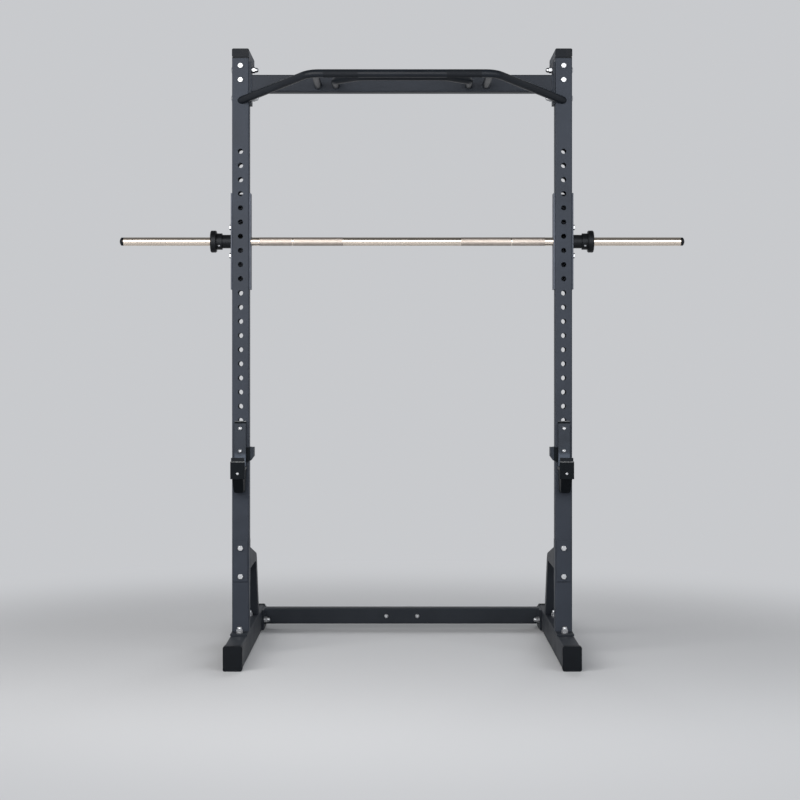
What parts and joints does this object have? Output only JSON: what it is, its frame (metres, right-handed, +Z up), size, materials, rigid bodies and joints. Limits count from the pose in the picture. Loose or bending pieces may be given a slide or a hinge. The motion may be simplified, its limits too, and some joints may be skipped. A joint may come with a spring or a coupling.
{
  "type": "power rack",
  "caption": "Two-post training rack with long feet, braces, a multi-grip pull-up unit, a turning bar through both uprights and swing-out bar hooks.",
  "frame": {"origin": "on the floor, midway between the uprights and midway along the feet", "axes": "+X to the right as seen from the front, +Y to the back, +Z up"},
  "size_m": [2, 1.13, 2.144],
  "materials": {
    "slate_coated_steel": "slate grey powder coat with a fine texture, satin",
    "grip_coated_steel": "dark powder coat, satin",
    "black_coated_steel": "black powder coat, satin",
    "black_turned_steel": "black oxide over turned steel",
    "polished_steel": "hard chrome with knurled zones",
    "plated_steel": "bright zinc plate",
    "cap_plastic": "moulded, fine grain",
    "liner_plastic": "machined nylon, worn",
    "bush_plastic": "turned, smooth"
  },
  "bodies": {
    "frame": {"left_upright": "slate_coated_steel", "right_upright": "slate_coated_steel", "upright_caps": "cap_plastic", "left_foot": "slate_coated_steel", "right_foot": "slate_coated_steel", "foot_caps": "cap_plastic", "left_base_plate": "slate_coated_steel", "right_base_plate": "slate_coated_steel", "left_brace": "slate_coated_steel", "right_brace": "slate_coated_steel", "left_clamp_plate": "slate_coated_steel", "right_clamp_plate": "slate_coated_steel", "left_top_arm": "slate_coated_steel", "right_top_arm": "slate_coated_steel", "arm_caps": "cap_plastic", "upper_beam": "slate_coated_steel", "pullup_front_bar": "grip_coated_steel", "pullup_inner_bar": "grip_coated_steel", "left_neutral_grip": "grip_coated_steel", "right_neutral_grip": "grip_coated_steel", "floor_beam": "slate_coated_steel", "floor_beam_studs": "plated_steel", "left_bar_bracket": "slate_coated_steel", "right_bar_bracket": "slate_coated_steel", "left_hub": "black_turned_steel", "right_hub": "black_turned_steel", "left_bushes": "bush_plastic", "right_bushes": "bush_plastic", "top_bolts": "plated_steel", "brace_bolts": "plated_steel", "frame_nuts": "plated_steel", "frame_washers": "plated_steel", "bracket_screws": "plated_steel", "bracket_weld_nuts": "plated_steel", "beam_bolts": "plated_steel", "foot_bolts": "plated_steel", "floor_beam_bolts": "plated_steel", "acorn_nuts": "plated_steel", "large_washers": "plated_steel"},
    "bar": {"bar": "polished_steel", "left_stop_collar": "black_turned_steel", "right_stop_collar": "black_turned_steel", "set_screws": "plated_steel", "bar_end_caps": "cap_plastic"},
    "left_hook": {"left_hook_body": "black_coated_steel", "left_hook_back_liner": "liner_plastic", "left_hook_saddle_liner": "liner_plastic", "left_hook_lip": "black_coated_steel", "left_hook_bumper": "liner_plastic", "left_hook_screws": "plated_steel"},
    "right_hook": {"right_hook_body": "black_coated_steel", "right_hook_back_liner": "liner_plastic", "right_hook_saddle_liner": "liner_plastic", "right_hook_lip": "black_coated_steel", "right_hook_bumper": "liner_plastic", "right_hook_screws": "plated_steel"}
  },
  "joints": [
    {"name": "bar_spin", "type": "hinge", "parent": "frame", "child": "bar", "pos_m": [0, -0.205, 1.465], "axis": [1, 0, 0], "continuous": true},
    {"name": "left_hook_swing", "type": "hinge", "parent": "frame", "child": "left_hook", "pos_m": [-0.57, -0.235, 0.782], "axis": [0, -1, 0], "range_deg": [0, 104]},
    {"name": "right_hook_swing", "type": "hinge", "parent": "frame", "child": "right_hook", "pos_m": [0.57, -0.235, 0.782], "axis": [0, 1, 0], "range_deg": [0, 104]}
  ]
}
